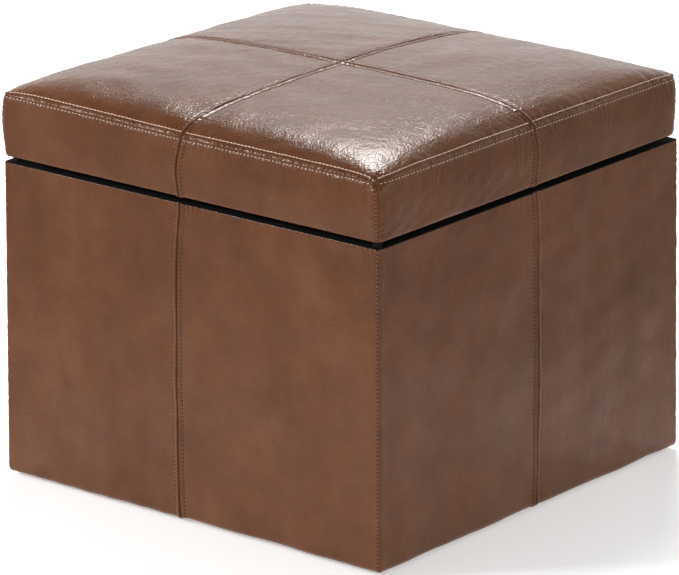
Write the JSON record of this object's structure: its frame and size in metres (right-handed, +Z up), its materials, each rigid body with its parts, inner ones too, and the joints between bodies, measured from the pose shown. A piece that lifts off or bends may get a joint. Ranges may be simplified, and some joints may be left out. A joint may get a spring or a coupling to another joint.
{
  "type": "storage ottoman",
  "caption": "Square leather storage ottoman with a crowned, hinged cushion lid over a lined storage box.",
  "frame": {"origin": "on the floor, under the middle of the box", "axes": "+Z up, -Y towards the front, +Y towards the hinge, +X to the right seen from the front"},
  "size_m": [0.461, 0.461, 0.4025],
  "materials": {
    "leather": "semi-gloss brown leather, lightly mottled, tan topstitching",
    "wood": "raw plywood",
    "black_cloth": "black non-woven cloth",
    "foam": "open-cell seat foam",
    "fibre": "white fibre wadding",
    "zinc_steel": "zinc-plated steel",
    "rubber": "black rubber",
    "plastic": "black plastic"
  },
  "bodies": {
    "base": {"base_bottom_board": "wood", "base_cover_front_left": "leather", "base_cover_front_right": "leather", "base_cover_left_front": "leather", "base_cover_left_rear": "leather", "base_cover_rear_left": "leather", "base_cover_rear_right": "leather", "base_cover_right_front": "leather", "base_cover_right_rear": "leather", "base_dust_cover": "black_cloth", "base_front_batten": "wood", "base_front_board": "wood", "base_left_batten": "wood", "base_left_board": "wood", "base_rear_batten": "wood", "base_rear_board": "wood", "base_right_batten": "wood", "base_right_board": "wood", "bumper_front_left": "rubber", "bumper_front_right": "rubber", "glide_front_left": "plastic", "glide_front_right": "plastic", "glide_rear_left": "plastic", "glide_rear_right": "plastic", "hinge_leaf_base": "zinc_steel", "hinge_pin": "zinc_steel", "hinge_screw_base_1": "zinc_steel", "hinge_screw_base_2": "zinc_steel", "hinge_screw_base_3": "zinc_steel", "stay_stud_left": "zinc_steel", "stay_stud_right": "zinc_steel", "storage_lining": "black_cloth"},
    "lid": {"hinge_leaf_lid": "zinc_steel", "hinge_screw_lid_1": "zinc_steel", "hinge_screw_lid_2": "zinc_steel", "hinge_screw_lid_3": "zinc_steel", "lid_band_front_left": "leather", "lid_band_front_right": "leather", "lid_band_left_front": "leather", "lid_band_left_rear": "leather", "lid_band_rear_left": "leather", "lid_band_rear_right": "leather", "lid_band_right_front": "leather", "lid_band_right_rear": "leather", "lid_board": "wood", "lid_foam": "foam", "lid_top_front_left": "leather", "lid_top_front_right": "leather", "lid_top_rear_left": "leather", "lid_top_rear_right": "leather", "lid_underlining": "black_cloth", "lid_wadding": "fibre", "stay_bracket_left": "zinc_steel", "stay_bracket_right": "zinc_steel", "stay_rivet_left": "zinc_steel", "stay_rivet_right": "zinc_steel"},
    "stay_left": {"stay_arm_left": "zinc_steel"},
    "stay_right": {"stay_arm_right": "zinc_steel"}
  },
  "joints": [
    {"name": "lid_hinge", "type": "hinge", "parent": "base", "child": "lid", "pos_m": [0, 0.2265, 0.3167], "axis": [-1, 0, 0], "range_deg": [0, 95]},
    {"name": "stay_left_pivot", "type": "hinge", "parent": "lid", "child": "stay_left", "pos_m": [-0.2079, 0.11292, 0.29871], "axis": [-1, 0, 0], "range_deg": [-47.5, 0]},
    {"name": "stay_right_pivot", "type": "hinge", "parent": "lid", "child": "stay_right", "pos_m": [0.2079, 0.11292, 0.29871], "axis": [-1, 0, 0], "range_deg": [-47.5, 0]}
  ],
  "couplings": [
    {"joint": "stay_left_pivot", "follows": "lid_hinge", "ratio": -0.5},
    {"joint": "stay_right_pivot", "follows": "lid_hinge", "ratio": -0.5}
  ]
}
